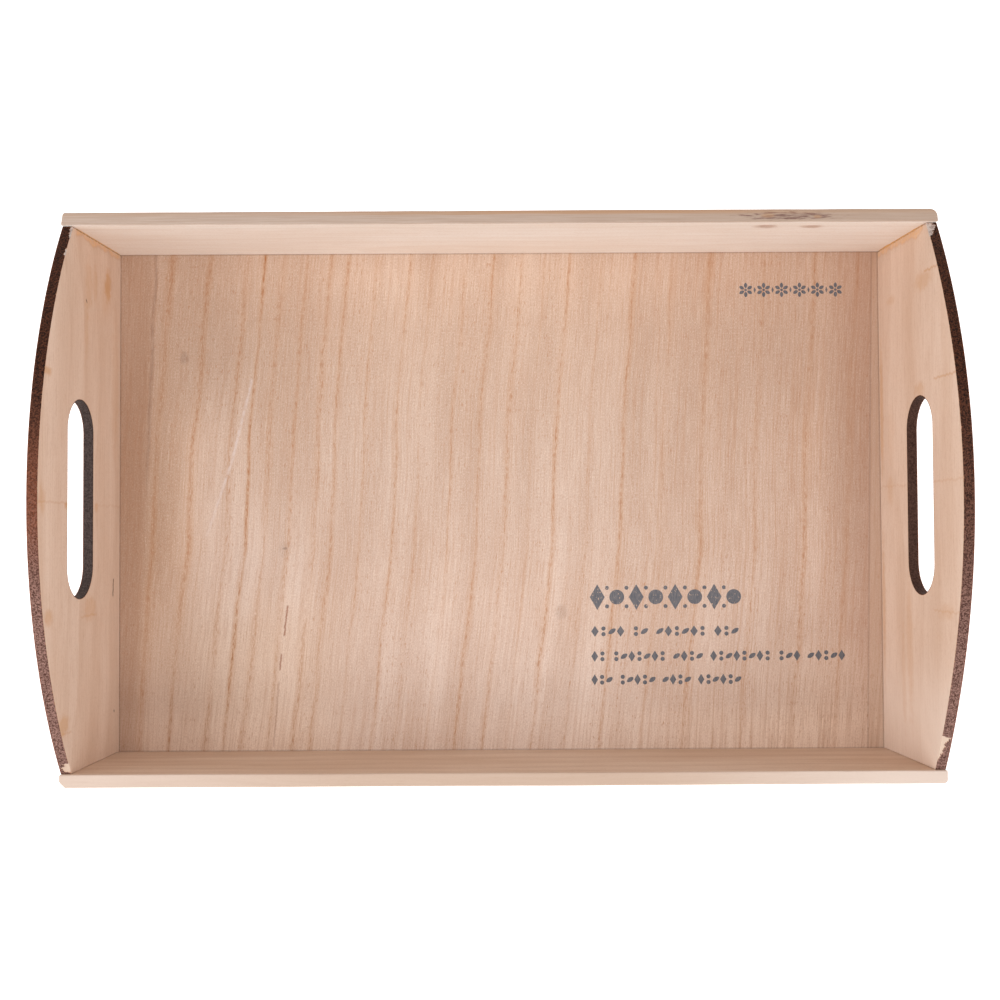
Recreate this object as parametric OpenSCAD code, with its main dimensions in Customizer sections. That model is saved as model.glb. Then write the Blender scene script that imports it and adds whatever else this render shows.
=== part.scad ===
// Wooden serving tray: a thin plywood base, two straight rails along the long sides and two
// arched end panels, leaning outwards, with a hand slot cut through each.
// The boards are glued, and pinned with small steel brads.
// Frame: origin at the centre of the underside, +X along the length, +Y to the back, +Z up.

/* [Floor] */
// Inside length of the floor, between the feet of the end panels
floor_length = 380; // [300:5:460]
// Inside width of the floor, between the rails
floor_width = 248; // [200:2:320]
// Thickness of the plywood base
base_t = 3; // [2:0.5:6]

/* [Rails] */
// Thickness of the two long rails
rail_t = 6; // [4:0.5:10]
// Height of the rails above the floor
rail_h = 61; // [50:1:75]

/* [End panels] */
// Thickness of the end panels
end_t = 4.8; // [4:0.1:8]
// Height of the arch where it meets the rails, measured up the panel
spring_h = 59; // [50:1:70]
// Height of the arch at its crest, measured up the panel
crest_h = 97; // [85:1:120]
// Outward lean of the end panels from upright, in degrees
lean = 3.5; // [0:0.5:8]

/* [Hand slots] */
// Length of the slot, over its round ends
slot_length = 91; // [80:1:110]
// Height of the slot
slot_h = 29.5; // [24:0.5:34]
// Height of the slot's centre line above the floor, measured up the panel
slot_centre_h = 50; // [45:1:60]

/* [Brads] */
// Diameter of a brad's shank
brad_d = 1.2; // [0.8:0.1:1.6]
// Diameter of a brad's flat head
brad_head_d = 2; // [1.8:0.1:2.4]
// Thickness of a brad's head
brad_head_t = 0.6; // [0.4:0.1:1]
// Depth to which the heads are set below the wood
brad_set = 0.2; // [0.1:0.1:0.5]
// Length of a brad that holds a rail to an end panel
corner_brad_length = 20; // [14:1:30]
// Length of a brad that holds the base to a wall
base_brad_length = 16; // [12:1:20]
// Number of brads in each corner
corner_brads = 3; // [2:1:4]
// Number of brads under each rail
rail_brads = 5; // [2:1:8]
// Number of brads under each end panel
end_brads = 3; // [2:1:5]

/* [Hidden] */
$fn = 48;
cut = 1;               // how far a cutter runs past the face that it cuts
corner_margin = 11;    // from a rail's edges to the nearest corner brad
rail_brad_margin = 22; // from a rail's end to the nearest base brad
end_brad_margin = 34;  // from a rail's inner face to the nearest base brad
brad_tip = 2;          // length of a brad's point
brad_tip_d = 0.3;      // width of that point at its very end

half_floor = floor_length / 2;
half_width = floor_width / 2;
wall_run = end_t / cos(lean);                   // an end panel's thickness along X
foot_x = half_floor + wall_run;                 // outer face of an end panel, at the floor
base_width = floor_width + 2 * rail_t;
arch_rise = crest_h - spring_h;
arch_r = (half_width * half_width + arch_rise * arch_rise) / (2 * arch_rise);
slot_r = slot_h / 2;
end_brad_x = end_mid_x((base_brad_length - base_t) / 2);

veneer = [0.82, 0.68, 0.59];
rail_wood = [0.90, 0.80, 0.69];
end_wood = [0.83, 0.71, 0.60];
steel = [0.72, 0.72, 0.70];

// Middle of an end panel's thickness at a height above the floor
function end_mid_x(h) = half_floor + wall_run / 2 + h * tan(lean);
// The i-th of n even steps from a to b
function step(a, b, i, n) = a + (b - a) * i / (n - 1);

// A brad that points up, with the face of its head at z = 0
module brad(length) {
    cylinder(h = brad_head_t, d = brad_head_d);
    cylinder(h = length - brad_tip, d = brad_d);
    translate([0, 0, length - brad_tip])
        cylinder(h = brad_tip, d1 = brad_d, d2 = brad_tip_d);
}

// The hole that a brad leaves, open to the face that it was driven through
module brad_hole(length) {
    brad(length);
    translate([0, 0, -brad_set - cut])
        cylinder(h = brad_set + cut + brad_head_t, d = brad_head_d);
}

// Places its child at each brad of the front left corner, pointing along +Y
module at_corner_brads() {
    for (i = [0 : corner_brads - 1]) {
        h = step(corner_margin, rail_h - corner_margin, i, corner_brads);
        translate([-end_mid_x(h), -base_width / 2 + brad_set, base_t + h])
            rotate([-90, 0, 0]) children();
    }
}

// Places its child at each brad under the front rail, pointing up
module at_rail_brads() {
    reach = half_floor - rail_brad_margin;
    for (i = [0 : rail_brads - 1])
        translate([step(-reach, reach, i, rail_brads), -(floor_width + rail_t) / 2, brad_set])
            children();
}

// Places its child at each brad under the left end panel, pointing up
module at_end_brads() {
    reach = half_width - end_brad_margin;
    for (i = [0 : end_brads - 1])
        translate([-end_brad_x, step(-reach, reach, i, end_brads), brad_set])
            children();
}

module corner_brad_set() color(steel) at_corner_brads() brad(corner_brad_length);
module rail_brad_set() color(steel) at_rail_brads() brad(base_brad_length);
module end_brad_set() color(steel) at_end_brads() brad(base_brad_length);

// A rail's side: its ends follow the lean of the end panels
module rail_outline() {
    top_x = foot_x + rail_h * tan(lean);
    polygon([[-foot_x, 0], [foot_x, 0], [top_x, rail_h], [-top_x, rail_h]]);
}

// The front rail, with the holes for its brads
module rail() {
    color(rail_wood)
    difference() {
        translate([0, -half_width, base_t])
            rotate([90, 0, 0]) linear_extrude(rail_t) rail_outline();
        at_corner_brads() brad_hole(corner_brad_length);
        mirror([1, 0, 0]) at_corner_brads() brad_hole(corner_brad_length);
        at_rail_brads() brad_hole(base_brad_length);
    }
}

// An end panel laid flat, with its foot a little below y = 0
module end_outline() {
    difference() {
        intersection() {
            translate([-half_width, -end_t]) square([floor_width, crest_h + 2 * end_t]);
            translate([0, crest_h - arch_r]) circle(r = arch_r, $fn = 180);
        }
        translate([0, slot_centre_h]) hand_slot();
    }
}

module hand_slot() {
    straight = slot_length - slot_h;
    square([straight, slot_h], center = true);
    for (side = [-1, 1])
        translate([side * straight / 2, 0]) circle(r = slot_r);
}

// The left end panel: stood up, leant outwards and planed off level at the floor
module end_panel() {
    color(end_wood)
    difference() {
        translate([-half_floor, 0, base_t])
            rotate([0, -lean, 0])
                rotate([90, 0, -90]) linear_extrude(end_t) end_outline();
        translate([-foot_x - 2 * end_t, -base_width, base_t - 4 * end_t])
            cube([6 * end_t, 2 * base_width, 4 * end_t]);
        at_corner_brads() brad_hole(corner_brad_length);
        mirror([0, 1, 0]) at_corner_brads() brad_hole(corner_brad_length);
        at_end_brads() brad_hole(base_brad_length);
    }
}

module base_panel() {
    color(veneer)
    difference() {
        translate([-foot_x, -base_width / 2, 0]) cube([2 * foot_x, base_width, base_t]);
        for (side = [0, 1]) {
            mirror([0, side, 0]) at_rail_brads() brad_hole(base_brad_length);
            mirror([side, 0, 0]) at_end_brads() brad_hole(base_brad_length);
        }
    }
}

module front_rail() rail();
module back_rail() mirror([0, 1, 0]) rail();
module left_end_panel() end_panel();
module right_end_panel() mirror([1, 0, 0]) end_panel();

module front_left_corner_brads() corner_brad_set();
module front_right_corner_brads() mirror([1, 0, 0]) corner_brad_set();
module back_left_corner_brads() mirror([0, 1, 0]) corner_brad_set();
module back_right_corner_brads() mirror([1, 0, 0]) mirror([0, 1, 0]) corner_brad_set();

module front_base_brads() rail_brad_set();
module back_base_brads() mirror([0, 1, 0]) rail_brad_set();
module left_base_brads() end_brad_set();
module right_base_brads() mirror([1, 0, 0]) end_brad_set();

base_panel();
front_rail();
back_rail();
left_end_panel();
right_end_panel();
front_left_corner_brads();
front_right_corner_brads();
back_left_corner_brads();
back_right_corner_brads();
front_base_brads();
back_base_brads();
left_base_brads();
right_base_brads();
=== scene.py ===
"""A wooden serving tray: boards, print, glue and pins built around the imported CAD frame."""
import math

import bmesh
import bpy
from mathutils import Matrix, Vector, noise


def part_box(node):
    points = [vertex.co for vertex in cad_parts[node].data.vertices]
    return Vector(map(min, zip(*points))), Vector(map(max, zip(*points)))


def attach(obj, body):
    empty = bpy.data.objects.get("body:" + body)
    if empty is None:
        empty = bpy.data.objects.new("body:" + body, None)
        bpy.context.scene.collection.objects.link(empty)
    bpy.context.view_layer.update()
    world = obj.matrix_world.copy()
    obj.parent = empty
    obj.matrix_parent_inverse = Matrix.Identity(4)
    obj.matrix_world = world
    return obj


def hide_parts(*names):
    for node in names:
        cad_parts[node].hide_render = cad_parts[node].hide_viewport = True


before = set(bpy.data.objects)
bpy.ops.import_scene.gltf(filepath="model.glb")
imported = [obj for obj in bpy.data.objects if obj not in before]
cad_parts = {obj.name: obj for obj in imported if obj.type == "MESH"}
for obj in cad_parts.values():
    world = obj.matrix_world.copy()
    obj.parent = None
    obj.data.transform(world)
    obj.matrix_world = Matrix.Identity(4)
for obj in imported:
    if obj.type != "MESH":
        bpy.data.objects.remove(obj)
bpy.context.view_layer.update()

MM = 0.001
WOOD_ROUGHNESS = 0.62  # of bare sanded wood

# ---- sizes, from the frame
base_lo, base_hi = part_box("base_panel")
rail_lo, rail_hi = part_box("front_rail")
end_lo, end_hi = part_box("left_end_panel")

FLOOR_Z = base_hi.z  # top of the floor
FOOT_X = base_hi.x  # outer face of an end panel, at the floor
HALF_FLOOR = -end_hi.x  # inner face of an end panel, at the floor
HALF_WIDTH = -rail_hi.y  # inner face of a rail
RAIL_T = rail_hi.y - rail_lo.y
RAIL_TOP = rail_hi.z
LEAN = math.atan((rail_hi.x - FOOT_X) / (RAIL_TOP - FLOOR_Z))
END_T = (FOOT_X - HALF_FLOOR) * math.cos(LEAN)
CREST = (end_hi.z - FLOOR_Z) / math.cos(LEAN)

# the arch and the hand slot, measured up the end panel as in the CAD
SPRING = 59 * MM
SLOT_LENGTH = 91 * MM
SLOT_H = 29.5 * MM
SLOT_MID = 50 * MM
BRAD_SET = 0.2 * MM  # depth to which the brads' heads are set

# How far each corner has sprung outwards at the rails' top: (end panel's side, rail's side)
SPRUNG = {(-1, -1): 0.2 * MM, (-1, 1): 0.6 * MM, (1, -1): 1.6 * MM, (1, 1): 1.0 * MM}


def sprung(side, y, z):
    """Outward shift of an end panel, or of a rail's end, at a place in its width and height."""
    share = min(1.0, abs(y) / HALF_WIDTH) ** 6
    return SPRUNG[side, 1 if y > 0 else -1] * share * max(0.0, z - FLOOR_Z) / (RAIL_TOP - FLOOR_Z)


# ---- shader helper
class Graph:
    """Writes a material's nodes. Most methods return an output socket. point is the place in the row
    frame in millimetres, xyz its three parts, and colour the surface's colour so far."""

    def __init__(self, name):
        self.material = bpy.data.materials.new(name)
        self.material.use_nodes = True
        self.tree = self.material.node_tree
        self.tree.nodes.clear()
        out = self.node("OutputMaterial")
        self.shader = self.node("BsdfPrincipled")
        scaled = self.node("VectorMath", self.node("TexCoord").outputs["Object"], operation="SCALE")
        self.put(scaled.inputs["Scale"], 1 / MM)
        self.point = scaled.outputs["Vector"]
        self.xyz = self.split(self.point)
        self.colour = None
        self.tree.links.new(self.shader.outputs["BSDF"], out.inputs["Surface"])

    def put(self, socket, value):
        """Links a socket, or sets a number, colour or vector."""
        if isinstance(value, bpy.types.NodeSocket):
            self.tree.links.new(value, socket)
        elif isinstance(value, tuple) and len(value) == 3 and socket.type == "RGBA":
            socket.default_value = (*value, 1)
        else:
            socket.default_value = value

    def finish(self, **inputs):
        """Fills the shader's own sockets and returns the material."""
        for name, value in inputs.items():
            self.put(self.shader.inputs[name.replace("_", " ")], value)
        return self.material

    def wood(self, relief, depth, roughness, specular=0.3):
        """A bare wooden surface. depth is the height in metres that a change of 1 in relief makes."""
        bump = self.node("Bump")
        self.put(bump.inputs["Height"], relief)
        self.put(bump.inputs["Distance"], depth)
        return self.finish(Base_Color=self.colour, Roughness=roughness, Specular_IOR_Level=specular,
                           Normal=bump.outputs["Normal"])

    def node(self, kind, *values, **settings):
        """Adds a node with these settings, and fills its first sockets with the values."""
        node = self.tree.nodes.new("ShaderNode" + kind)
        for name, value in settings.items():
            setattr(node, name, value)
        for socket, value in zip(node.inputs, values):
            self.put(socket, value)
        return node

    def facing(self, axis):
        """How far the surface faces along an axis, 0 to 1, either way."""
        return self.size(self.split(self.node("NewGeometry").outputs["Normal"])[axis])

    def attribute(self, name):
        return self.node("Attribute", attribute_name=name).outputs["Fac"]

    def math(self, operation, a, b=0.0):
        return self.node("Math", a, b, operation=operation).outputs[0]

    def add(self, *terms):
        total = terms[0]
        for term in terms[1:]:
            total = self.math("ADD", total, term)
        return total

    def mul(self, *factors):
        total = factors[0]
        for factor in factors[1:]:
            total = self.math("MULTIPLY", total, factor)
        return total

    def size(self, value):
        """The value without its sign."""
        return self.math("ABSOLUTE", value)

    def most(self, a, b):
        """The larger of two values."""
        return self.math("MAXIMUM", a, b)

    def centred(self, value, amount):
        """A value from 0 to 1 as one about 0, times amount."""
        return self.mul(self.math("SUBTRACT", value, 0.5), amount)

    def stretch(self, factors):
        """The point with a scale of its own for each axis."""
        return self.node("VectorMath", self.point, factors, operation="MULTIPLY").outputs["Vector"]

    def reach(self, x, y):
        """The distance of (x, y) from 0."""
        return self.node("VectorMath", self.join(x, y), operation="LENGTH").outputs["Value"]

    def split(self, vector):
        return self.node("SeparateXYZ", vector).outputs

    def join(self, x, y, z=0.0):
        return self.node("CombineXYZ", x, y, z).outputs[0]

    def noise(self, vector, scale=1.0, detail=2.0, roughness=0.5):
        """Noise from 0 to 1, its mean near 0.5."""
        node = self.node("TexNoise", vector)
        for name, value in (("Scale", scale), ("Detail", detail), ("Roughness", roughness)):
            self.put(node.inputs[name], value)
        return node.outputs["Fac"]

    def grain(self, parts, detail=2.0, roughness=0.5):
        """Noise over up to three parts, each a number or a pair of a value and its scale."""
        parts = [self.mul(*part) if isinstance(part, tuple) else part for part in parts]
        return self.noise(self.join(*parts), 1.0, detail, roughness)

    def random(self, value):
        """One random number from 0 to 1 for each whole value."""
        node = self.node("TexWhiteNoise", noise_dimensions="1D")
        self.put(node.inputs["W"], value)
        return node.outputs["Value"]

    def linear(self, *values, curve="LINEAR"):
        """The values are the input, the low and high that it runs between, and what they become."""
        return self.node("MapRange", *values, interpolation_type=curve).outputs[0]

    def smooth(self, value, low, high, to_low=0.0, to_high=1.0):
        """Smoothly from to_low at low to to_high at high."""
        return self.linear(value, low, high, to_low, to_high, curve="SMOOTHSTEP")

    def fade(self, value, low, high):
        """1 up to low, falling to 0 at high."""
        return self.smooth(value, low, high, 1.0, 0.0)

    def near(self, value, low, high):
        """1 within low of 0 on either side, falling to 0 at high."""
        return self.fade(self.size(value), low, high)

    def mix(self, factor, a, b):
        node = self.node("Mix", data_type="RGBA")
        self.put(node.inputs["Factor"], factor)
        for name, value in (("A", a), ("B", b)):
            self.put([s for s in node.inputs if s.name == name and s.type == "RGBA"][0], value)
        return [s for s in node.outputs if s.type == "RGBA"][0]

    def tint(self, colour, rgb, *factors):
        """Mixes a colour given as 0 to 255 over another, by the product of the factors."""
        return self.mix(self.mul(*factors), colour, srgb(*rgb))

    def paint(self, rgb, *factors):
        """Tints the surface's colour so far."""
        self.colour = self.tint(self.colour, rgb, *factors)

    def cover(self, factor, colour):
        """Mixes another colour over the surface's colour so far."""
        self.colour = self.mix(factor, self.colour, colour)

    def ramp(self, value, low, high, first, second):
        """From one colour at low to another at high, both given as 0 to 255."""
        return self.mix(self.smooth(value, low, high), srgb(*first), srgb(*second))


def srgb(r, g, b):
    """A colour as a screen shows it, 0 to 255, made linear."""
    def linear(v):
        v /= 255
        return v / 12.92 if v <= 0.04045 else ((v + 0.055) / 1.055) ** 2.4
    return (linear(r), linear(g), linear(b))


# ---- materials: all places and widths in them are in millimetres
def line_mark(g, x, y, start, stop, half_width, soft):
    """1 on the straight line from start to stop, falling to 0 over soft millimetres beyond half_width."""
    dx, dy = stop[0] - start[0], stop[1] - start[1]
    length = math.hypot(dx, dy)
    dx, dy = dx / length, dy / length
    px = g.add(x, -start[0])
    py = g.add(y, -start[1])
    along = g.add(g.mul(px, dx), g.mul(py, dy))
    across = g.size(g.add(g.mul(px, -dy), g.mul(py, dx)))
    body = g.fade(across, half_width, half_width + soft)
    return g.mul(body, g.smooth(along, -soft, soft), g.fade(along, length - soft, length + soft))


def spot_mark(g, x, y, centre, half_x, half_y, ragged=0.0):
    """1 inside an ellipse, fading to 0 at its rim; ragged is noise about 0 that frays the rim."""
    px = g.mul(g.add(x, -centre[0]), 1 / half_x)
    py = g.mul(g.add(y, -centre[1]), 1 / half_y)
    radius = g.reach(px, py)
    if ragged:
        radius = g.add(radius, ragged)
    return g.fade(radius, 0.35, 1.0)


# The floor's marked streaks: where each crosses the middle, half width, depth of tone
FLOOR_STREAKS = ((-172.5, 1.6, 0.42), (-154.5, 1.7, 0.52), (-135.6, 1.6, 0.40), (-126.5, 1.0, 0.85),
                 (-117, 1.7, 0.34), (-104.8, 1.2, 0.38), (-92.6, 1.7, 0.40), (-84, 1.2, 0.46),
                 (-69.5, 1.0, 0.32), (-53.4, 1.1, 0.42), (-42, 0.9, 0.24), (-25.5, 1.0, 0.32),
                 (-11.5, 1.1, 0.46), (2.3, 1.3, 0.42), (14, 0.9, 0.22), (26.5, 1.2, 0.56),
                 (43, 0.9, 0.22), (60, 1.2, 0.54), (80, 1.1, 0.26), (99.8, 1.7, 0.42),
                 (127, 1.2, 0.28), (152, 1.4, 0.42), (173, 1.2, 0.30))
# Faint knots in the floor: centre (x, y), half width, half depth, depth of tone
FLOOR_KNOTS = (((-158, 72), 3.0, 4.2, 0.30), ((-108.5, -24), 4.5, 5.5, 0.10),
               ((-107.6, -23.6), 1.7, 0.9, 0.6), ((30, -56), 4.0, 5.0, 0.22))
# Nicks in the floor, from (x, y) to (x, y), and the depth of tone of each
FLOOR_NICKS = (((-105.5, -52), (-107.1, -67), 0.8), ((-108.6, -76), (-109.4, -84), 0.7),
               ((-109.8, -90), (-112.4, -122), 0.35))


def floor_grain(g, x, y):
    """Place across the grain: the fibres lean left towards the front, least of all near the middle."""
    shift = g.add(g.mul(y, 0.036), g.mul(g.most(g.add(y, -36.0), 0.0), 0.058),
                  g.mul(g.math("MINIMUM", g.add(y, 24.0), 0.0), 0.078))
    share = g.add(g.smooth(x, 50, 130, 1.0, 0.7), g.smooth(x, -178, -160, -0.4, 0.0))
    bend = g.centred(g.grain([(x, 0.009), (y, 0.014), 4.0], 1.0), 4.0)
    return g.add(x, g.mul(shift, share, -1.0), bend)


def floor_colour(g):
    """The floor veneer: fine fibres, pores in broken lines, slow changes of tone, a painted sheen that
    makes it paler towards the front, and painted light over the front rail's shadow. Returns its relief and
    pores."""
    x, y, _ = g.xyz
    u = floor_grain(g, x, y)
    right = g.smooth(x, 20, 150)
    fibre = g.grain([(u, 0.95), (y, 0.012), 3.0], 2.0, 0.6)
    hair = g.grain([(u, 2.2), (y, 0.07), 7.0], 2.0, 0.65)
    # pores: short strokes along the grain, in clusters
    stroke = g.grain([(u, 1.8), (y, 0.30), 1.0], 2.0, 0.6)
    cluster = g.smooth(g.grain([(u, 0.13), (y, 0.006), 9.0]), 0.42, 0.64)
    tone = g.grain([(u, 0.05), (y, 0.005), 2.0])
    cloud = g.grain([(x, 0.018), (y, 0.012), 6.0])
    # painted sheen: the floor is painted paler and less saturated towards the front, for the front lamp's
    # sheen
    front = g.fade(y, -95, 115)
    pale = g.mix(front, srgb(213, 185, 165), srgb(225, 202, 188))
    dark = g.mix(front, srgb(200, 170, 149), srgb(211, 184, 168))
    g.colour = g.mix(g.smooth(tone, 0.36, 0.64), pale, dark)
    g.paint((196, 163, 142), g.smooth(cloud, 0.4, 0.7), 0.35)
    g.paint((197, 164, 144), right, 0.5)
    g.paint((180, 138, 104), g.smooth(x, -136, -166), g.smooth(y, 110, -20),
            g.smooth(y, -125, -60, 0.35, 1.0), 0.5)
    # painted light: the front left of the floor is painted paler, over the shadow of the front rail
    g.paint((240, 211, 186), g.smooth(x, -60, -120), g.smooth(x, -165, -140, 0.4, 1.0),
            g.smooth(y, -30, -80), 0.45)
    g.paint((160, 122, 100), g.smooth(y, 118, 84), g.smooth(y, -62, 30), g.smooth(x, -150, -80),
            g.smooth(x, 170, 60, 0.5, 1.0), 0.16)
    # painted light: a paler band along the front rail and in the front right corner, painted over the front
    # rail's shadow
    edge = g.mul(g.smooth(y, -92, -118), g.smooth(g.size(g.add(x, 20.0)), 20, 150, 0.1, 0.7))
    edge = g.add(edge, g.mul(g.smooth(x, 110, 160), g.smooth(y, -60, -95), 0.42))
    g.paint((240, 213, 193), edge)
    speck = g.grain([(u, 2.4), (y, 1.1), 8.0], 2.0, 0.7)
    g.paint((164, 122, 94), g.smooth(speck, 0.34, 0.52, 0.26, 0.0))
    g.paint((248, 230, 214), g.smooth(speck, 0.52, 0.68, 0.0, 0.30))
    g.paint((188, 144, 114), g.smooth(fibre, 0.42, 0.70), g.linear(right, 0, 1, 0.30, 0.46))
    g.paint((178, 130, 98), g.smooth(hair, 0.5, 0.72), g.linear(right, 0, 1, 0.30, 0.44))
    g.paint((242, 220, 202), g.fade(hair, 0.28, 0.46), 0.26)
    pores = g.smooth(stroke, 0.58, 0.70)
    g.paint((176, 118, 74), pores, g.linear(cluster, 0, 1, 0.18, 0.55))
    # the marked streaks: a soft warm band with broken dark strokes in it
    along = g.smooth(g.grain([(u, 0.11), (y, 0.020), 11.0]), 0.34, 0.60, 0.40, 1.0)
    broken = g.smooth(stroke, 0.40, 0.60, 0.12, 1.0)
    moved = g.add(u, g.centred(g.grain([(u, 0.09), (y, 0.03), 5.0], 3.0, 0.65), 2.6))
    for place, width, depth in FLOOR_STREAKS:
        off = g.size(g.add(moved, -place))
        g.paint((196, 144, 97), g.fade(off, 0.0, 2.2 * width), along, 0.42 * depth)
        g.paint((167, 104, 53), g.fade(off, 0.0, 1.15 * width), along, broken, depth)
    relief = g.add(g.mul(fibre, 0.5), g.mul(hair, 0.4), g.mul(pores, -0.9))
    return relief, pores


def floor_marks(g):
    """Dark strips along the two ends, a pale scratch, faint knots, a few nicks, and painted shade along the
    foot of the rails and end panels.
    """
    x, y, z = g.xyz
    clean = g.colour
    g.paint((156, 106, 72), g.fade(g.add(x, g.mul(y, -0.035)), -180.5, -174.8),
            g.smooth(y, -40, 20, 0.26, 0.46), g.smooth(y, 40, 110, 1.0, 0.62))
    g.paint((150, 106, 80), g.smooth(x, -172, -189), g.smooth(y, 20, -40), 0.2)
    waver = g.mul(g.grain([3.0, (y, 0.05)]), 3.0)
    seam = g.near(g.add(x, g.mul(y, -0.04), waver, 175.6), 0.0, 1.7)
    patchy = g.smooth(g.grain([(x, 0.8), (y, 0.09)], 3.0, 0.7), 0.36, 0.62, 0.3, 1.0)
    g.paint((136, 100, 82), seam, patchy, g.smooth(y, -10, 40), 0.46)
    g.paint((160, 116, 92), g.smooth(x, 158, 184), g.smooth(y, -110, -50, 0.5, 1.0), 0.36)
    strip = g.add(x, g.mul(y, -0.02))
    g.paint((206, 178, 156), g.smooth(strip, 184.2, 185.2), 0.3)
    g.paint((120, 88, 76), g.near(g.add(strip, -184.4), 0.1, 0.7), 0.25)
    scuff = g.noise(g.point, 0.35, 3.0, 0.7)
    bow = g.add(x, g.mul(g.size(g.add(y, -21.0)), 0.045), g.mul(scuff, 1.2))
    scratch = line_mark(g, bow, y, (-121.6, 61), (-144.4, -18), 0.1, 1.0)
    g.paint((226, 212, 210), scratch, g.smooth(scuff, 0.35, 0.6, 0.12, 0.5),
            g.smooth(y, -18, 18, 0.5, 1.0))
    # painted shade: the floor darkened in a thin line along the foot of the rails and end panels, where the
    # crease is shaded
    rim = g.most(g.smooth(g.size(x), 189.1, 189.9), g.smooth(g.size(y), 123.2, 123.9))
    g.paint((110, 84, 72), rim, 0.35)
    ragged = g.centred(scuff, 0.8)
    for centre, half_x, half_y, depth in FLOOR_KNOTS:
        g.paint((140, 114, 100), spot_mark(g, x, y, centre, half_x, half_y, ragged), depth)
    for start, stop, depth in FLOOR_NICKS:
        wavy = g.add(x, g.mul(scuff, 1.6))
        g.paint((150, 92, 66), line_mark(g, wavy, y, start, stop, 0.02, 0.7), depth)
    # only the top face is marked
    g.colour = g.mix(g.smooth(z, 2.7, 2.9), clean, g.colour)


def floor_material():
    g = Graph("floor_veneer")
    relief, pores = floor_colour(g)
    floor_marks(g)
    # the edge shows three plies: the core's end grain is darker
    z = g.xyz[2]
    ply = g.ramp(g.noise(g.stretch((0.9, 0.9, 2.2)), 1.0, 3.0), 0.35, 0.65, (178, 132, 98), (206, 164, 128))
    g.cover(g.mul(g.smooth(z, 0.85, 0.95), g.fade(z, 2.05, 2.15)), ply)
    return g.wood(relief, 0.05 * MM, g.linear(pores, 0, 1, 0.60, 0.8))


def solid_wood(g, along, pith, ring_width, contrast, pale, dark, line):
    """Solid wood. along is the grain's axis, 0 for X or 1 for Y. Rings lie round a far pith.
    pale and dark are its slow tones, and line is the colour of its rings, fibres and pores.
    Returns its relief."""
    xyz = list(g.xyz)
    length = xyz.pop(along)
    a = g.add(xyz[0], -pith[0])
    b = g.add(xyz[1], -pith[1])
    drift = g.grain([(length, 0.006), (a, 0.01), (b, 0.01)])
    radius = g.reach(a, b)
    radius = g.add(radius, g.mul(drift, 2.5 * ring_width))
    ring = g.mul(radius, 1 / ring_width)
    phase = g.math("FRACT", ring)
    strength = g.random(g.math("FLOOR", ring))
    late = g.mul(g.smooth(phase, 0.30, 0.90), g.fade(phase, 0.93, 1.0),
                 g.smooth(strength, 0.0, 1.0, 0.1, 1.0))
    fibre = g.grain([(radius, 1.1), (length, 0.016), (b, 0.9)], 2.0, 0.6)
    hair = g.grain([(a, 2.2), (length, 0.06), (b, 2.2)], 2.0, 0.6)
    pores = g.smooth(g.grain([(a, 1.5), (length, 0.12), (b, 1.5)], 1.0), 0.66, 0.76)
    tone = g.grain([(a, 0.05), (length, 0.008), (b, 0.05)])
    g.colour = g.ramp(tone, 0.3, 0.7, pale, dark)
    g.paint(line, late, 0.34 * contrast)
    g.paint(line, g.smooth(fibre, 0.42, 0.74), 0.28 * contrast)
    g.paint(line, g.smooth(hair, 0.5, 0.75), 0.28)
    g.paint(line, pores, 0.34)
    speck = g.grain([(a, 2.0), (length, 0.8), (b, 2.0)], 2.0, 0.7)
    g.paint(line, g.smooth(speck, 0.34, 0.52, 0.22, 0.0))
    # sawn end grain is darker, and its rings stand out
    end = g.smooth(g.facing(along), 0.7, 0.9)
    g.paint((178, 138, 104), end, 0.72)
    g.paint((142, 100, 70), end, late, 0.6)
    return g.add(g.mul(fibre, 0.5), g.mul(hair, 0.4), g.mul(pores, -0.7))


def rail_top(g, z):
    """1 on a rail's sawn top."""
    return g.smooth(z, RAIL_TOP / MM - 0.9, RAIL_TOP / MM - 0.2)


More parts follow.
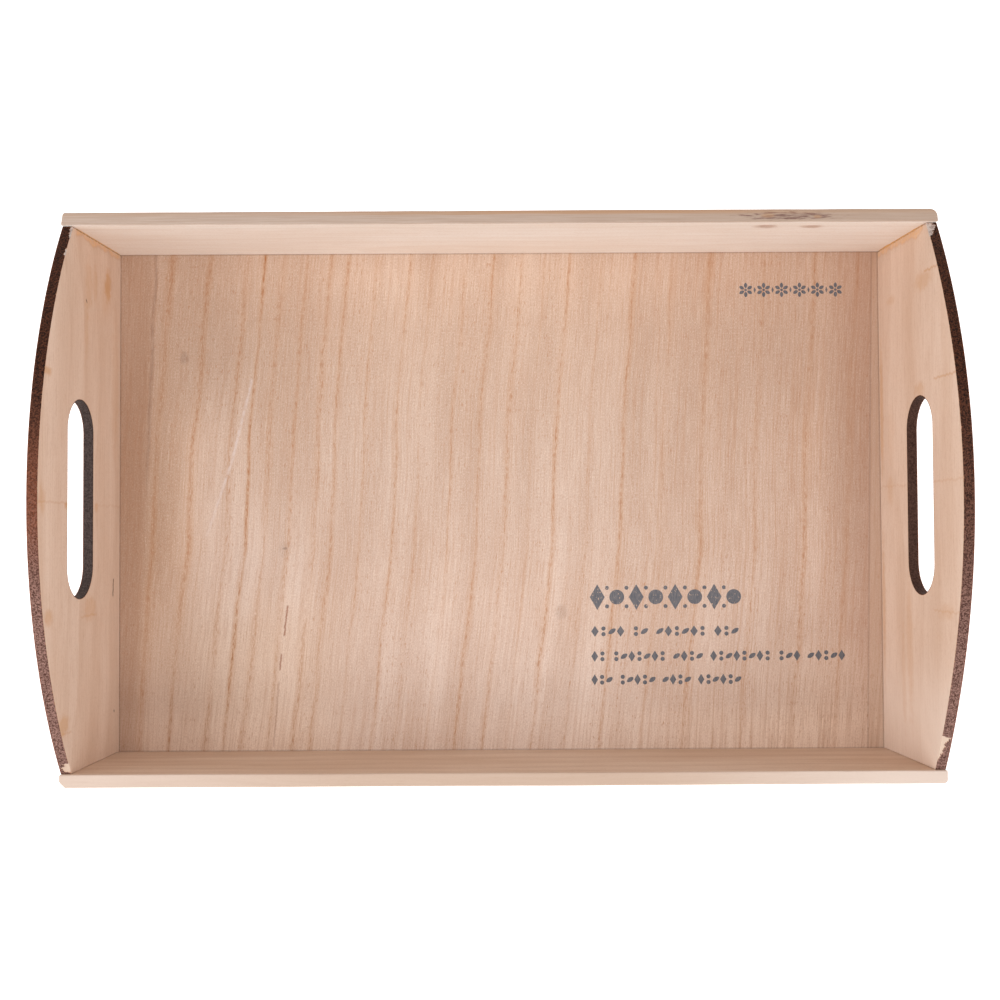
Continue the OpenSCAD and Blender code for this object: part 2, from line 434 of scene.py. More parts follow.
def back_rail_material():
    """Painted much paler than the front rail, as painted light on its inner face. Its sawn top is greyer
    and darker, partly its own grey and partly painted shade, with a small double knot near the right end.
    """
    g = Graph("back_rail_wood")
    x, y, z = g.xyz
    # painted light: the back rail's wood is much paler than the front rail's, standing in for the light
    # that falls on its inner face
    relief = solid_wood(g, 0, (90.0, 10.0), 4.5, 0.5,
                        (252, 243, 235), (247, 234, 223), (216, 187, 162))
    # its sawn top is covered greyer and darker: partly the sawn wood's own grey, partly painted shade
    top = rail_top(g, z)
    scuff = g.grain([(x, 0.035), (y, 2.4), (z, 0.8)], 3.0, 0.6)
    grey = g.ramp(x, 20, 120, (178, 154, 138), (170, 143, 124))
    grey = g.tint(grey, (154, 123, 102), g.smooth(scuff, 0.38, 0.66, 0.0, 0.6))
    g.cover(g.mul(top, 0.9), grey)
    # the knot: dark swirls along the grain round two tan eyes
    swirl = g.grain([(x, 0.16), (y, 1.5), (z, 0.8)], 4.0, 0.65)
    ragged = g.centred(swirl, 2.4)
    deep = spot_mark(g, x, y, (132, 126.9), 24, 2.3, ragged)
    g.paint((104, 68, 60), deep, top, g.smooth(swirl, 0.58, 0.40, 0.12, 0.8))
    eye = g.most(spot_mark(g, x, y, (122.0, 127.0), 4.4, 1.4),
                 spot_mark(g, x, y, (144.5, 126.4), 2.6, 1.1))
    g.paint((178, 138, 106), eye, top, 0.6)
    # it shows on the inner face too
    low = g.most(spot_mark(g, x, z, (123, 55.5), 7.5, 4.2, ragged),
                 spot_mark(g, x, z, (144, 55.0), 7.0, 3.6, ragged))
    g.paint((166, 112, 82), low, g.smooth(y, 125.2, 124.6), g.smooth(swirl, 0.35, 0.6, 0.3, 0.75))
    # the outer edge is tan, most of all in the middle
    tan = g.smooth(g.add(y, g.mul(scuff, 1.6)), 128.2, 129.6)
    tan = g.mul(tan, top, g.smooth(x, -150, 40, 0.2, 0.75), g.smooth(x, 70, 150, 1.0, 0.35))
    g.paint((178, 134, 98), tan)
    # painted highlight: the top's inner arris is painted paler, as the bright line where it catches the
    # front light
    rim = g.smooth(g.add(y, g.mul(z, 0.2)), 137.2, 136.6)
    g.paint((196, 160, 132), rim, top, 0.35)
    return g.wood(relief, 0.04 * MM, WOOD_ROUGHNESS)


def front_rail_material():
    g = Graph("front_rail_wood")
    x, _, z = g.xyz
    relief = solid_wood(g, 0, (-80.0, -14.0), 8.0, 0.9,
                        (224, 200, 180), (212, 184, 161), (180, 142, 114))
    top = rail_top(g, z)
    ends = g.most(g.smooth(x, 50, 190), g.smooth(x, -50, -190, 0.0, 0.6))
    g.cover(g.mul(top, 0.75), g.mix(ends, srgb(188, 161, 143), srgb(216, 198, 187)))
    return g.wood(relief, 0.04 * MM, WOOD_ROUGHNESS)


def scorched(g, side):
    """Mixes the dark, laser-cut skin over the wood where the mesh has "scorch". Returns where it is
    burnt, and its relief."""
    _, y, z = g.xyz
    scorch = g.attribute("scorch")
    layers = g.noise(g.stretch((0.9, 0.35, 0.9)), 1.0, 3.0, 0.7)
    bare = g.ramp(layers, 0.40, 0.62, (206, 192, 184), (150, 132, 128))
    bare = g.tint(bare, (206, 180, 160), g.smooth(y, 20, -20))
    g.cover(g.mul(g.attribute("torn"), 0.8), bare)
    fray = g.noise(g.point, 0.9, 3.0, 0.7)
    burnt = g.smooth(g.add(scorch, g.centred(fray, 1.0)), 0.42, 0.56)
    char = g.noise(g.point, 1.3, 5.0, 0.78)
    fleck = g.noise(g.stretch((1.2, 2.6, 1.2)), 1.0, 3.0, 0.7)
    black = g.ramp(char, 0.42, 0.60, (20, 9, 6), (86, 48, 32))
    brown = g.ramp(char, 0.42, 0.59, (66, 36, 27), (144, 100, 84))
    # painted sheen: towards the front, which faces the front lamp, the scorched edges are painted brown,
    # greyer and with paler flecks, where the back is painted black
    lower = g.smooth(g.add(y, g.mul(z, 0.4)), 98, -10 if side < 0 else -60)
    sheen_grey = g.ramp(char, 0.42, 0.59, (78, 50, 44), (166, 134, 126))
    brown = g.mix(g.mul(g.smooth(y, 10, -60), 0.5), brown, sheen_grey)
    shade = g.mix(lower, black, brown)
    shade = g.mix(g.mul(g.smooth(fleck, 0.54, 0.70), g.linear(lower, 0, 1, 0.30, 0.55)), shade,
                  g.mix(lower, srgb(92, 58, 42), srgb(150, 120, 110)))
    if side < 0:
        red = g.mul(g.smooth(y, 50, -5), g.smooth(y, -38, -6), g.smooth(fleck, 0.36, 0.62, 0.05, 0.48))
        shade = g.tint(shade, (146, 78, 48), red)
    # the slot's walls are darker
    slot = g.mul(g.smooth(z, 76, 74), g.smooth(g.size(y), 50, 48))
    wall = ((46, 36, 34), (84, 70, 66)) if side < 0 else ((46, 25, 18), (84, 58, 48))
    shade = g.mix(slot, shade, g.ramp(char, 0.36, 0.64, *wall))
    # the outer arris is a thin reddish line
    rim = g.smooth(g.add(g.attribute("across"), g.mul(fray, 0.14)), 0.94, 1.05)
    shade = g.tint(shade, (138, 76, 50), rim, g.linear(lower, 0, 1, 0.5, 0.8))
    g.paint((168, 106, 64), g.smooth(scorch, 0.05, 0.45), 0.7)
    g.cover(burnt, shade)
    return burnt, g.mul(burnt, char)


# Joints in the end panels' boards: place along Y, from and to a height, depth of tone
LEFT_JOINTS = ((-2.3, 66, 100, 0.30), (-2.3, 3, 36, 0.16), (-54, 34, 52, 0.30), (-105, 62, 84, 0.34))
RIGHT_JOINTS = ((101.8, 60, 80, 0.55), (51.5, 70, 100, 0.50), (5.5, 66, 100, 0.26), (5.5, 3, 36, 0.20),
                (-52, 66, 100, 0.26))
# Amber stains: centre (y, z), half width along Y, half height, depth
LEFT_STAINS = (((105, 20), 11, 5.5, 0.62), ((103, 36), 12, 4, 0.22), ((99, 22), 16, 8, 0.18),
               ((100, 44), 18, 6, 0.24), ((80, 47), 20, 4, 0.18), ((54.4, 90), 2.6, 6, 0.56),
               ((58, 10), 50, 6, 0.20), ((-51, 41), 7, 10, 0.30), ((-52, 88), 5, 6, 0.42),
               ((-101, 71), 6, 8, 0.46), ((-1, 95), 9, 5, 0.32), ((-3.5, 69), 2.2, 3, 0.5),
               ((-3, 34), 3, 3, 0.35))
RIGHT_STAINS = (((96, 20), 3, 7, 0.25), ((98, 59), 6, 13, 0.34), ((48.6, 54), 4.5, 8, 0.34),
                ((4, 16), 11, 5, 0.24), ((30, 18), 20, 6, 0.12), ((-70, 38), 46, 5, 0.22),
                ((-84, 30), 34, 3, 0.18), ((-52, 80), 5, 11, 0.22), ((44, 6), 44, 3.2, 0.42),
                ((-52, 5.5), 44, 2.8, 0.38))
# Splits in the left panel, from (y, z) to (y, z), and the width of each
LEFT_SPLITS = (((-38.0, 11.8), (-46.5, 12.4), 0.6), ((-102.4, 10.2), (-103.2, 10.4), 1.2),
               ((93.4, 47.6), (92, 46.6), 0.3))


def end_material(name, pith, side, joints, stains):
    """The end panels: pale board in glued lengths, with scorched cut edges and amber glue stains."""
    g = Graph(name)
    _, y, z = g.xyz
    relief = solid_wood(g, 1, pith, 11.0, 0.7,
                        (228, 203, 185), (219, 191, 171), (190, 150, 120))
    # faint lines where the board's lengths are glued together
    for place, low, high, depth in joints:
        wobble = g.centred(g.grain([0.0, (z, 0.35), place * 0.1]), 3.0)
        line = g.near(g.add(y, -place, wobble), 0.1, 0.9)
        inside = g.mul(g.smooth(z, low - 1.0, low + 1.0), g.fade(z, high - 1.0, high + 1.0))
        g.paint((194, 138, 86), line, inside, 0.8 * depth)
    if side > 0:
        g.paint((246, 230, 218), g.smooth(y, -62, -104), 0.4)
    fray = g.centred(g.noise(g.point, 0.3), 0.9)
    for centre, half_y, half_z, depth in stains:
        g.paint((200, 148, 98), spot_mark(g, y, z, centre, half_y, half_z, fray), depth)
    for start, stop, width in LEFT_SPLITS if side < 0 else ():
        wavy = g.add(z, g.mul(g.noise(g.point, 0.5, 1.0), 0.8))
        g.paint((66, 46, 40), line_mark(g, y, wavy, start, stop, 0.3 * width, 0.6), 0.85)
    # glue squeezed out along the back corner
    gap = g.math("SUBTRACT", HALF_WIDTH / MM, y)
    reach = g.linear(g.grain([side, (z, 0.09), 2.0]), 0.3, 0.7, 0.8, 5.6 if side > 0 else 4.6)
    beyond = g.math("SUBTRACT", gap, reach)
    below = g.smooth(z, 60, 57)
    soaked = g.smooth(g.grain([side * 2.0, (y, 0.5), (z, 0.35)], 3.0, 0.6), 0.3, 0.65, 0.25, 0.68)
    g.paint((228, 180, 130), g.fade(beyond, -0.9, 0.7), below, soaked)
    g.paint((190, 136, 92), g.near(beyond, 0.2, 1.0), below, 0.16)
    # painted shade: a broken dark line on the panel within a millimetre of the back rail, where the corner
    # joint's gap is shaded
    gap_shadow = g.smooth(g.grain([side * 5.0, (z, 0.5)]), 0.35, 0.55)
    g.paint((84, 60, 46), g.fade(gap, 0.25, 0.85), gap_shadow, 0.75)
    burnt, char = scorched(g, side)
    return g.wood(g.add(relief, char), 0.06 * MM, g.linear(burnt, 0, 1, WOOD_ROUGHNESS, 0.7), 0.1)


def steel_material():
    g = Graph("brad_steel")
    grime = g.noise(g.point, 3.0, 3.0)
    return g.finish(
        Base_Color=g.mix(g.smooth(grime, 0.4, 0.7), (0.56, 0.56, 0.54), (0.32, 0.30, 0.28)),
        Metallic=1.0,
        Roughness=g.linear(grime, 0.2, 0.8, 0.25, 0.5),
    )


def glue_material():
    g = Graph("dried_glue")
    cloud = g.noise(g.point, 0.6)
    return g.finish(
        Base_Color=g.mix(cloud, srgb(222, 172, 112), srgb(198, 142, 84)),
        Roughness=0.35,
        Specular_IOR_Level=0.5,
    )


def ink_material(name, worn):
    """Grey ink that has sunk into the veneer. worn is how much of it has flaked off, 0 to 1."""
    g = Graph(name)
    x, y, _ = g.xyz
    flake = g.grain([(x, 0.9), (y, 0.6)], 4.0, 0.75)
    grain = g.grain([(x, 2.6), (y, 0.3)], 2.0, 0.6)
    tone = g.ramp(grain, 0.35, 0.7, (92, 92, 98), (118, 114, 116))
    bare = g.smooth(flake, 0.72 - 0.2 * worn, 0.76 - 0.2 * worn)
    return g.finish(
        Base_Color=g.tint(tone, (214, 180, 156), bare),
        Roughness=0.7,
        Specular_IOR_Level=0.3,
    )


# ---- mesh helpers
def wave(x, y, z, size, amount):
    """A smooth random offset, repeatable, of up to amount, over lengths of about size."""
    return amount * noise.noise(Vector((x, y, z)) / size)


def link(name, data):
    """A new object in the scene."""
    new = bpy.data.objects.new(name, data)
    bpy.context.scene.collection.objects.link(new)
    return new


def mesh_from(name, bm):
    mesh = bpy.data.meshes.new(name)
    bm.to_mesh(mesh)
    bm.free()
    return mesh


def make_piece(name, bm, material, smooth_angle=35):
    """A piece of the object. Edges sharper than smooth_angle, in degrees, stay sharp."""
    bmesh.ops.recalc_face_normals(bm, faces=bm.faces)
    mesh = mesh_from(name, bm)
    mesh.shade_smooth()
    mesh.set_sharp_from_angle(angle=math.radians(smooth_angle))
    mesh.materials.append(material)
    return link(name, mesh)


def bridge(bm, a, b):
    """Faces between two rings of vertices."""
    for k in range(len(a)):
        m = (k + 1) % len(a)
        bm.faces.new((a[k], a[m], b[m], b[k]))


def loft(rows, closed, marks=None):
    """A skin through rings of points. A closed loft joins its last ring to its first, and an open one
    is capped. marks gives each point its "scorch", "torn" and "across" values."""
    bm = bmesh.new()
    layers = [bm.verts.layers.float.new(name) for name in ("scorch", "torn", "across")] if marks else []
    rings = []
    for r, row in enumerate(rows):
        ring = [bm.verts.new(p) for p in row]
        for k, layer in enumerate(layers):
            for vert, mark in zip(ring, marks[r]):
                vert[layer] = mark[k]
        rings.append(ring)
    for a, b in zip(rings, rings[1:]):
        bridge(bm, a, b)
    if closed:
        bridge(bm, rings[-1], rings[0])
    else:
        bm.faces.new(rings[0])
        bm.faces.new(rings[-1])
    return bm


def dent(piece, places, direction):
    """Cuts a round dent at each brad's head. direction points into the wood."""
    radius = 1.1 * MM
    reach = 2 * MM  # the cutter's length, most of it outside the wood
    bm = bmesh.new()
    into = Vector(direction)
    turn = into.to_track_quat("Z", "Y").to_matrix().to_4x4()
    for place in places:
        centre = Vector(place) - into * (reach / 2 - BRAD_SET)
        bmesh.ops.create_cone(bm, cap_ends=True, segments=28, radius1=radius * 1.15, radius2=radius,
                              depth=reach, matrix=Matrix.Translation(centre) @ turn)
    cutter = link("cutter", mesh_from("cutter", bm))
    cut = piece.modifiers.new("dents", "BOOLEAN")
    cut.operation = "DIFFERENCE"
    cut.solver = "EXACT"
    cut.object = cutter
    bpy.context.view_layer.update()
    solid = piece.evaluated_get(bpy.context.evaluated_depsgraph_get())
    cut_mesh = bpy.data.meshes.new_from_object(solid)
    piece.modifiers.clear()
    piece.data = cut_mesh
    bpy.data.objects.remove(cutter)


def brad_middles(nodes):
    """The middle of the bounding box of each brad in these nodes."""
    middles = []
    for node in nodes:
        bm = bmesh.new()
        bm.from_mesh(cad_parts[node].data)
        bmesh.ops.remove_doubles(bm, verts=bm.verts, dist=1e-6)
        left = set(bm.verts)
        while left:
            stack = [left.pop()]
            brad = []
            while stack:
                vert = stack.pop()
                brad.append(vert.co)
                for edge in vert.link_edges:
                    other = edge.other_vert(vert)
                    if other in left:
                        left.remove(other)
                        stack.append(other)
            middles.append([(min(p[k] for p in brad) + max(p[k] for p in brad)) / 2 for k in range(3)])
        bm.free()
    return sorted(middles)


# ---- rails
def rail_half_length(z):
    """Half the rail's length at a height: its ends follow the end panels' lean."""
    return FOOT_X + (z - FLOOR_Z) * math.tan(LEAN)


def end_stations(shape, size, ease):
    """(distance from the end, pull of the outer face, easing of the other edges), going inwards."""
    steps = 9
    stations = []
    for k in range(steps + 1):
        t = k / steps
        if shape == "round":
            angle = (1 - t) * math.pi / 2
            distance = size * (1 - math.sin(angle))
            pull = size * (1 - math.cos(angle))
        else:
            distance = size * t ** 1.6
            pull = size * (1 - t ** 1.6)
        near = max(0.0, ease - distance)
        stations.append((distance, pull, ease - math.sqrt(max(0.0, ease * ease - near * near))))
    return stations


def section(inner, outer, bottom, top, radii, splits):
    """A rounded rectangle in (y, z). radii: inner bottom, inner top, outer top, outer bottom. splits
    says into how many lengths an upright and a level side are cut."""
    sign = 1 if outer > inner else -1
    arc = 6
    corners = (
        (inner, bottom, sign, 1, radii[0], -90, -180),
        (inner, top, sign, -1, radii[1], 180, 90),
        (outer, top, -sign, -1, radii[2], 90, 0),
        (outer, bottom, -sign, 1, radii[3], 0, -90),
    )
    arcs = []
    for y, z, sy, sz, radius, start, stop in corners:
        angles = [math.radians(start + (stop - start) * k / arc) for k in range(arc + 1)]
        arcs.append([(y + radius * (sy + sign * math.cos(angle)), z + radius * (sz + math.sin(angle)))
                     for angle in angles])
    points = []
    for index, corner in enumerate(arcs):
        points += corner
        (y, z), (next_y, next_z) = corner[-1], arcs[(index + 1) % 4][0]
        count = splits[index % 2]
        points += [(y + (next_y - y) * k / count, z + (next_z - z) * k / count) for k in range(1, count)]
    return points


def make_rail(name, side, left_end, right_end, material):
    """side is -1 for the front rail and 1 for the back one. An end is (shape, size, skew): its outer
    corner's shape and size, and how much shorter the saw cut leaves the outer face."""
    ease = 0.45 * MM
    along = 110
    fray = 12 * MM  # how far from its end a rail follows the sprung corner
    longest = rail_half_length(RAIL_TOP)
    # (which end, or 0 between them; share of the length; distance, pull and rounding at an end)
    stations = [(-1, 0, *station) for station in end_stations(*left_end[:2], ease)]
    stations += [(0, k / along, 0, 0, 0) for k in range(1, along)]
    stations += [(1, 1, *station) for station in reversed(end_stations(*right_end[:2], ease))]
    rows = []
    for end, share, distance, pull, rounded in stations:
        wear = 1 + wave(longest * (2 * share - 1) - end * distance, side, 0.3, 0.018, 0.35)
        radii = [0.25 * MM, 0.7 * MM * wear, 0.9 * MM * wear, 0.5 * MM]
        ring = section(
            side * (HALF_WIDTH + rounded), side * (HALF_WIDTH + RAIL_T - pull),
            FLOOR_Z + rounded * 0.5, RAIL_TOP - rounded, radii, (16, 5))
        row = []
        for y, z in ring:
            half = rail_half_length(z)
            if end:
                x = end * (half - distance)
            else:
                x = left_end[1] - half + (2 * half - left_end[1] - right_end[1]) * share
            outness = (abs(y) - HALF_WIDTH) / RAIL_T
            near_left = max(0.0, 1 - (x + half) / fray)
            near_right = max(0.0, 1 - (half - x) / fray)
            up = (z - FLOOR_Z) / (RAIL_TOP - FLOOR_Z)
            x += outness * (left_end[2] * near_left - right_end[2] * near_right)
            x += sprung(1, y, z) * near_right - sprung(-1, y, z) * near_left
            y += wave(x, side, z, 0.07, 0.12 * MM) * up
            drop = wave(x, side * 3, 0, 0.05, 0.10 * MM) - 0.08 * MM
            z += drop * max(0.0, up) ** 4
            row.append((x, y, z))
        rows.append(row)
    return make_piece(name, loft(rows, closed=False), material)


# ---- end panels
def panel_point(side, v, u, w):
    """v along the width, u up the panel's inner face, w out through its thickness."""
    u = max(u, w * math.tan(LEAN))  # the foot is planed level
    x = HALF_FLOOR + u * math.sin(LEAN) + w * math.cos(LEAN)
    z = FLOOR_Z + u * math.cos(LEAN) - w * math.sin(LEAN)
    return Vector((side * (x + sprung(side, v, z)), v, z))


def arch_height(v):
    """Height of the arch up the panel at a place along the width."""
    rise = CREST - SPRING
    radius = (HALF_WIDTH ** 2 + rise ** 2) / (2 * rise)
    return CREST - radius + math.sqrt(radius ** 2 - v ** 2)


def panel_outline():
    """(v, u, kind) round the panel, from its front foot: foot, back side, arch, front side."""
    foot, flank, arch = 70, 26, 300  # number of points on each
    across = [HALF_WIDTH * math.cos(math.pi * k / arch) for k in range(arch)]
    points = [(-HALF_WIDTH + 2 * HALF_WIDTH * k / foot, 0.0, "foot") for k in range(foot)]
    points += [(HALF_WIDTH, SPRING * k / flank, "flank") for k in range(flank)]
    points += [(v, arch_height(v), "arch") for v in across]
    points += [(-HALF_WIDTH, SPRING * (1 - k / flank), "flank") for k in range(flank)]
    return points


def slot_point(v, u):
    """The point of the slot's rim that lies nearest to a point of the outline."""
    reach = (SLOT_LENGTH - SLOT_H) / 2
    core = Vector((max(-reach, min(reach, v)), SLOT_MID))
    return core + (Vector((v, u)) - core).normalized() * (SLOT_H / 2)


# Where the scorched skin has chipped off the arch's inner arris near a rail: panel side, from and to a
# place along the width, width across the edge at each, and depth, in mm
CHIPS = (
    (-1, -123.6, -118.8, 3.3, 2.6, 0.9),
    (-1, 108.6, 112.4, 0.5, 0.7, 0.5),
    (-1, 118.0, 124.0, 0.4, 1.2, 0.6),
    (1, -119.5, -107.6, 0.45, 2.9, 0.7),
    (1, 117.0, 124.0, 1.2, 4.5, 0.7),
)


def chip(side, v, w):
    """Depth of the chip at a point of the arch's edge."""
    depth = 0.0
    for panel, low, high, wide_low, wide_high, deep in CHIPS:
        place = v / MM
        if panel != side or not low < place < high:
            continue
        t = (place - low) / (high - low)
        ragged = noise.noise(Vector((place * 1.1, side, low)))
        width = (wide_low + (wide_high - wide_low) * t) * (1 + 0.8 * ragged)
        width *= min(1.0, (place - low) / 0.5, (high - place) / 0.5)
        if w / MM < width:
            depth = max(depth, deep * (1 - (w / MM / width) ** 3))
    return depth * MM


# Values of "scorch", "torn" and "across" on bare wood, and where the skin has torn off
PLAIN = (0.0, 0.0, 0.0)
TORN = (0.0, 1.0, 0.0)


def make_end_panel(name, side, material):
    ease = 0.18 * MM
    steps = 14
    # (place through the thickness, distance that the eased arrises draw in)
    arris = [(0.0, ease), (0.3 * ease, 0.3 * ease)]
    through = arris + [(ease + (END_T - 2 * ease) * k / steps, 0.0) for k in range(steps + 1)]
    through += [(END_T - w, inset) for w, inset in reversed(arris)]
    spots = []
    for v, u, kind in panel_outline():
        outer = Vector((v, u))
        rim = slot_point(v, u)
        spots.append((outer, rim, (rim - outer).normalized(), (rim - outer).length, kind))

    def scorch_at(w):
        """The scorch thins towards the inner face, where it frays."""
        return 0.58 + 0.42 * min(1.0, w / (0.9 * MM))

    def outer_row(w, inset):
        row, marks = [], []
        for outer, _, inward, _, kind in spots:
            drop = inset
            mark = PLAIN
            if kind == "arch":
                cut = chip(side, outer.x, w)
                drop += cut + wave(outer.x, side, w, 0.0012, 0.03 * MM)
                mark = TORN if cut > 0.05 * MM else (scorch_at(w), 0.0, w / END_T)
            elif kind == "flank":
                drop += (0.12 + 0.1 * noise.noise(Vector((side, outer.x * 9, outer.y * 90)))) * MM
            p = outer + inward * drop
            row.append(panel_point(side, p.x, p.y, w))
            marks.append(mark)
        return row, marks

    def face_row(w, start, share):
        """A ring on a face. start is the distance in from each rim, share the place between the rims."""
        row = []
        for outer, _, inward, length, kind in spots:
            cut = chip(side, outer.x, w) if kind == "arch" else 0.0
            near = start + cut
            if kind == "flank":
                near += 0.15 * MM * (1 - share)
            p = outer + inward * (near + (length - near - start) * share)
            bow = wave(p.x, p.y, side, 0.09, 0.10 * MM) * math.sin(math.pi * share)
            row.append(panel_point(side, p.x, p.y, w) + Vector((bow * side, 0, 0)))
        return row, [PLAIN] * len(row)

    def slot_row(w, inset):
        row = []
        for _, rim, inward, _, _ in spots:
            p = rim - inward * (inset + wave(rim.x, rim.y, w, 0.0015, 0.02 * MM))
            row.append(panel_point(side, p.x, p.y, w))
        return row, [(min(1.0, scorch_at(w) + 0.2), 0.0, w / END_T)] * len(row)

    shares = (0, 0.03, 0.08, 0.16, 0.28, 0.42, 0.58, 0.72, 0.84, 0.92, 0.97, 1)
    halo = ease + 0.5 * MM
    rows = [outer_row(w, inset) for w, inset in through]
    rows += [face_row(END_T, halo, share) for share in shares]
    rows += [slot_row(w, inset) for w, inset in reversed(through)]
    rows += [face_row(0.0, halo, share) for share in reversed(shares)]
    bm = loft([row for row, marks in rows], closed=True, marks=[marks for row, marks in rows])
    return make_piece(name, bm, material, 40)


# ---- base panel
def make_base(name, material):
    """Three plies: level rings up the edge, with the glue lines a little sunk, and gridded faces."""
    nx, ny = 78, 52
    # (height, inset) in mm, for a base 3 mm thick
    levels = ((0.0, 0.22), (0.08, 0.07), (0.22, 0.0), (0.84, 0.0), (0.9, 0.14), (0.97, 0.06), (1.5, 0.09),
              (2.03, 0.06), (2.1, 0.14), (2.16, 0.0), (2.78, 0.0), (2.92, 0.07), (3.0, 0.22))
    bm = bmesh.new()
    border = [(i, 0) for i in range(nx)] + [(nx, j) for j in range(ny)]
    border += [(i, ny) for i in range(nx, 0, -1)] + [(0, j) for j in range(ny, 0, -1)]

    def spot(i, j, inset, z):
        return Vector(((2 * i / nx - 1) * (base_hi.x - inset), (2 * j / ny - 1) * (base_hi.y - inset), z))

    def grid(z, inset):
        return {(i, j): bm.verts.new(spot(i, j, inset, z)) for i in range(nx + 1) for j in range(ny + 1)}

    def fill(verts):
        for i in range(nx):
            for j in range(ny):
                bm.faces.new((verts[i, j], verts[i + 1, j], verts[i + 1, j + 1], verts[i, j + 1]))

    bottom = grid(0.0, levels[0][1] * MM)
    top = grid(FLOOR_Z, levels[-1][1] * MM)
    fill(bottom)
    fill(top)
    rings = [[bottom[key] for key in border]]
    for z, inset in levels[1:-1]:
        ring = []
        for i, j in border:
            rough = wave(i * 0.011, j * 0.013, z, 0.02, 0.05)
            ring.append(bm.verts.new(spot(i, j, (inset + rough + 0.02) * MM, z / 3.0 * FLOOR_Z)))
        rings.append(ring)
    rings.append([top[key] for key in border])
    for a, b in zip(rings, rings[1:]):
        bridge(bm, a, b)
    return make_piece(name, bm, material, 50)


# ---- print and glue
def prism(bm, outline):
    """A thin flat solid on the floor from an outline in mm, sunk a little into it."""
    low, high = FLOOR_Z - 0.01 * MM, FLOOR_Z + 0.03 * MM
    bottom, top = [[bm.verts.new((x * MM, y * MM, z)) for x, y in outline] for z in (low, high)]
    bm.faces.new(bottom)
    bm.faces.new(top)
    bridge(bm, bottom, top)


def disc(x, y, radius):
    angles = [math.tau * k / 20 for k in range(20)]
    return [(x + radius * math.cos(angle), y + radius * math.sin(angle)) for angle in angles]


def lozenge(x, y, half_width, half_height):
    return [(x - half_width, y), (x, y - half_height), (x + half_width, y), (x, y + half_height)]


def leaf(x, y, half_length, half_width, angle):
    steps = 9
    edge = [(half_length * math.cos(math.pi * k / steps), half_width * math.sin(math.pi * k / steps) ** 1.4)
            for k in range(steps + 1)]
    edge += [(px, -py) for px, py in reversed(edge[1:-1])]
    s, c = math.sin(angle), math.cos(angle)
    return [(x + px * c - py * s, y + px * s + py * c) for px, py in edge]


def print_headline():
    """A bold band of beads and lozenges."""
    bm = bmesh.new()
    motifs, left, right, y = 8, 48.0, 116.0, -48.6
    pitch = (right - left) / (motifs - 1)
    for k in range(motifs):
        x = left + pitch * k
        if k % 2 == 0:
            prism(bm, lozenge(x, y, 3.7, 6.4))
        else:
            prism(bm, disc(x, y, 3.7))
        if k < motifs - 1:
            prism(bm, disc(x + pitch / 2, y + 4.6, 1.0))
            prism(bm, disc(x + pitch / 2, y - 4.6, 1.0))
    return make_piece("print_headline", bm, ink_material("worn_ink", 0.6))


def print_rows():
    """Three rows of small lozenges, dots and dashes in loose groups."""
    bm = bmesh.new()
    left = 44.6
    gap = 0.8  # between groups, as a share of the pitch
    for y, right, groups in ((-65.6, 118.6, (4, 2, 6, 3)), (-78.0, 171.4, (2, 7, 4, 8, 3, 5)),
                             (-89.6, 119.6, (3, 5, 4, 6))):
        pitch = (right - left) / (sum(groups) + gap * (len(groups) - 1))
        x = left + pitch / 2
        for group, count in enumerate(groups):
            for k in range(count):
                kind = (k + group) % 3
                if kind == 0:
                    prism(bm, lozenge(x, y, 0.44 * pitch, 2.7))
                elif kind == 1:
                    prism(bm, disc(x, y + 1.4, 1.05))
                    prism(bm, disc(x, y - 1.4, 1.05))
                else:
                    prism(bm, leaf(x, y, 0.52 * pitch, 1.1, 0.6))
                x += pitch
            x += gap * pitch
    return make_piece("print_rows", bm, ink_material("row_ink", 0.15))


def print_flowers():
    """A short row of six-petalled rosettes in the back right corner."""
    bm = bmesh.new()
    flowers, left, right, y = 6, 123.6, 168.6, 104.9
    pitch = (right - left) / (flowers - 1)
    for k in range(flowers):
        x = left + pitch * k
        prism(bm, disc(x, y, 0.65))
        for petal in range(6):
            angle = math.pi / 2 + petal * math.pi / 3
            prism(bm, leaf(x + 2.3 * math.cos(angle), y + 2.3 * math.sin(angle), 1.35, 0.85, angle))
        if k < flowers - 1:
            prism(bm, lozenge(x + pitch / 2, y, 0.6, 1.5))
    return make_piece("print_flowers", bm, ink_material("flower_ink", 0.3))


def make_glue(name, side, size, material):
    """A dried bead in the corner of an end panel and the back rail, uneven up its height."""
    rows = []
    steps = 60
    for k in range(steps + 1):
        height = (1.0 + 55.0 * k / steps) * MM
        swell = 0.45 + 0.55 * abs(noise.noise(Vector((side * 3.1, height / MM * 0.16, 0.5)))) * 2
        r = size * swell * min(1.0, 0.25 + 4 * k / steps, 0.25 + 4 * (steps - k) / steps)
        y = HALF_WIDTH
        x = HALF_FLOOR + height * math.tan(LEAN) + sprung(side, y, FLOOR_Z + height)
        ring = [(x + 0.2 * MM, y + 0.2 * MM), (x - r, y + 0.2 * MM), (x - 0.8 * r, y - 0.15 * r),
                (x - 0.45 * r, y - 0.45 * r), (x - 0.15 * r, y - 0.8 * r), (x + 0.2 * MM, y - r)]
        rows.append([(side * px, py, FLOOR_Z + height) for px, py in ring])
    return make_piece(name, loft(rows, closed=False), material, 60)


# ---- build
steel = steel_material()
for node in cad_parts:
    if node.endswith("brads"):
        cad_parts[node].data.materials.clear()
        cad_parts[node].data.materials.append(steel)

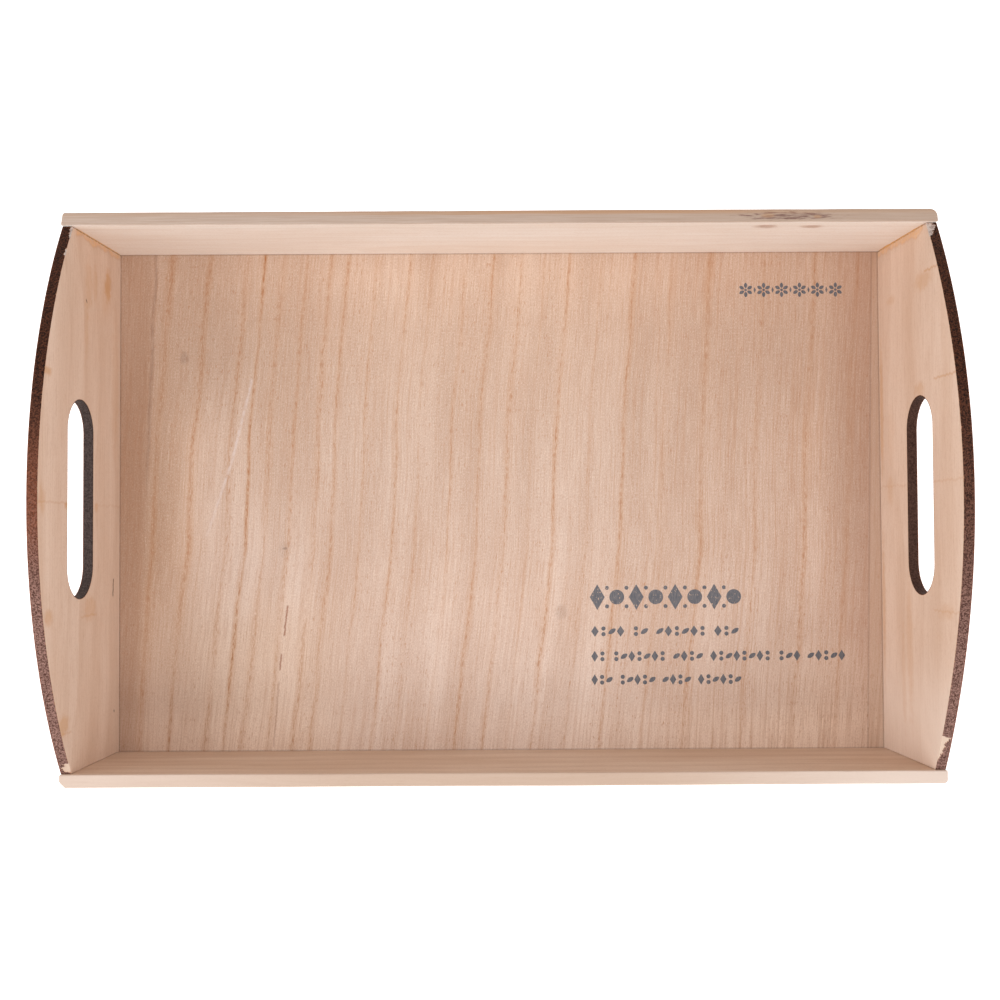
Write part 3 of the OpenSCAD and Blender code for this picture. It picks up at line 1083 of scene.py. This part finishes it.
front_rail = make_rail("front_rail_board", -1, ("chamfer", 2.6 * MM, 0.0), ("round", 1.6 * MM, 0.0),
                       front_rail_material())
back_rail = make_rail("back_rail_board", 1, ("round", 0.9 * MM, 0.9 * MM), ("round", 2.8 * MM, 0.7 * MM),
                      back_rail_material())
left_end = make_end_panel("left_end_board", -1, end_material("left_end_wood", (-260.0, -30.0), -1,
                                                             LEFT_JOINTS, LEFT_STAINS))
right_end = make_end_panel("right_end_board", 1, end_material("right_end_wood", (280.0, -10.0), 1,
                                                              RIGHT_JOINTS, RIGHT_STAINS))
base = make_base("base_board", floor_material())

for piece, node, slot in (
    (front_rail, "front_rail", "rail_wood"),
    (back_rail, "back_rail", "rail_wood"),
    (left_end, "left_end_panel", "end_wood"),
    (right_end, "right_end_panel", "end_wood"),
    (base, "base_panel", "floor_veneer"),
):
    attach(piece, "root")
    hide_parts(node)

glue = glue_material()
for piece in (
    print_headline(),
    print_rows(),
    print_flowers(),
    make_glue("glue_back_left", -1, 0.45 * MM, glue),
    make_glue("glue_back_right", 1, 0.8 * MM, glue),
):
    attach(piece, "root")

# dents over the brads' heads
for piece, side, nodes in (
    (front_rail, -1, ("front_left_corner_brads", "front_right_corner_brads")),
    (back_rail, 1, ("back_left_corner_brads", "back_right_corner_brads")),
):
    face = side * (HALF_WIDTH + RAIL_T)
    dent(piece, [(x, face, z) for x, _, z in brad_middles(nodes)], (0, -side, 0))
base_brads = brad_middles(["front_base_brads", "back_base_brads", "left_base_brads", "right_base_brads"])
dent(base, [(x, y, 0) for x, y, _ in base_brads], (0, 0, 1))


# ---- stage, lights and camera
def make_floor():
    bm = bmesh.new()
    bmesh.ops.create_grid(bm, x_segments=1, y_segments=1, size=6)
    g = Graph("studio_floor")
    material = g.finish(
        Base_Color=g.mix(g.noise(g.point, 0.02), (0.88, 0.88, 0.88), (0.9, 0.9, 0.9)),
        Roughness=0.9,
        Emission_Color=(1.0, 1.0, 1.0),
        Emission_Strength=0.6,
    )
    make_piece("studio_floor", bm, material)


def area_light(name, place, size, power):
    """A soft box that faces the middle of the tray."""
    data = bpy.data.lights.new(name, "AREA")
    data.shape = "RECTANGLE"
    data.size, data.size_y = size
    data.energy = power
    light = link(name, data)
    light.location = place
    light.rotation_euler = (Vector((0, 0, 0.03)) - Vector(place)).to_track_quat("-Z", "Y").to_euler()


def make_world():
    world = bpy.data.worlds.new("studio")
    world.use_nodes = True
    background = world.node_tree.nodes["Background"]
    background.inputs["Color"].default_value = (1.0, 1.0, 1.0, 1.0)
    background.inputs["Strength"].default_value = 0.62
    bpy.context.scene.world = world


def make_camera():
    """Almost straight above the tray, a little to the front, and tilted by that little."""
    data = bpy.data.cameras.new("camera")
    data.sensor_width = 36
    data.lens = 45.38
    camera = link("camera", data)
    place = Matrix.Translation((-0.00085, -0.01792, FLOOR_Z + 0.62924))
    tilt = Matrix.Rotation(0.0286, 4, "X")
    yaw = Matrix.Rotation(-0.0010, 4, "Y")
    roll = Matrix.Rotation(-0.0050, 4, "Z")
    camera.matrix_world = place @ tilt @ yaw @ roll
    bpy.context.scene.camera = camera


make_floor()
make_world()
area_light("front_box", (0.0, -0.75, 0.95), (0.9, 0.6), 4.6)
area_light("left_box", (-0.95, -0.05, 0.72), (0.6, 0.6), 6.0)
area_light("right_box", (0.95, -0.05, 0.72), (0.6, 0.6), 3.6)
make_camera()
bpy.context.scene.view_settings.view_transform = "Standard"
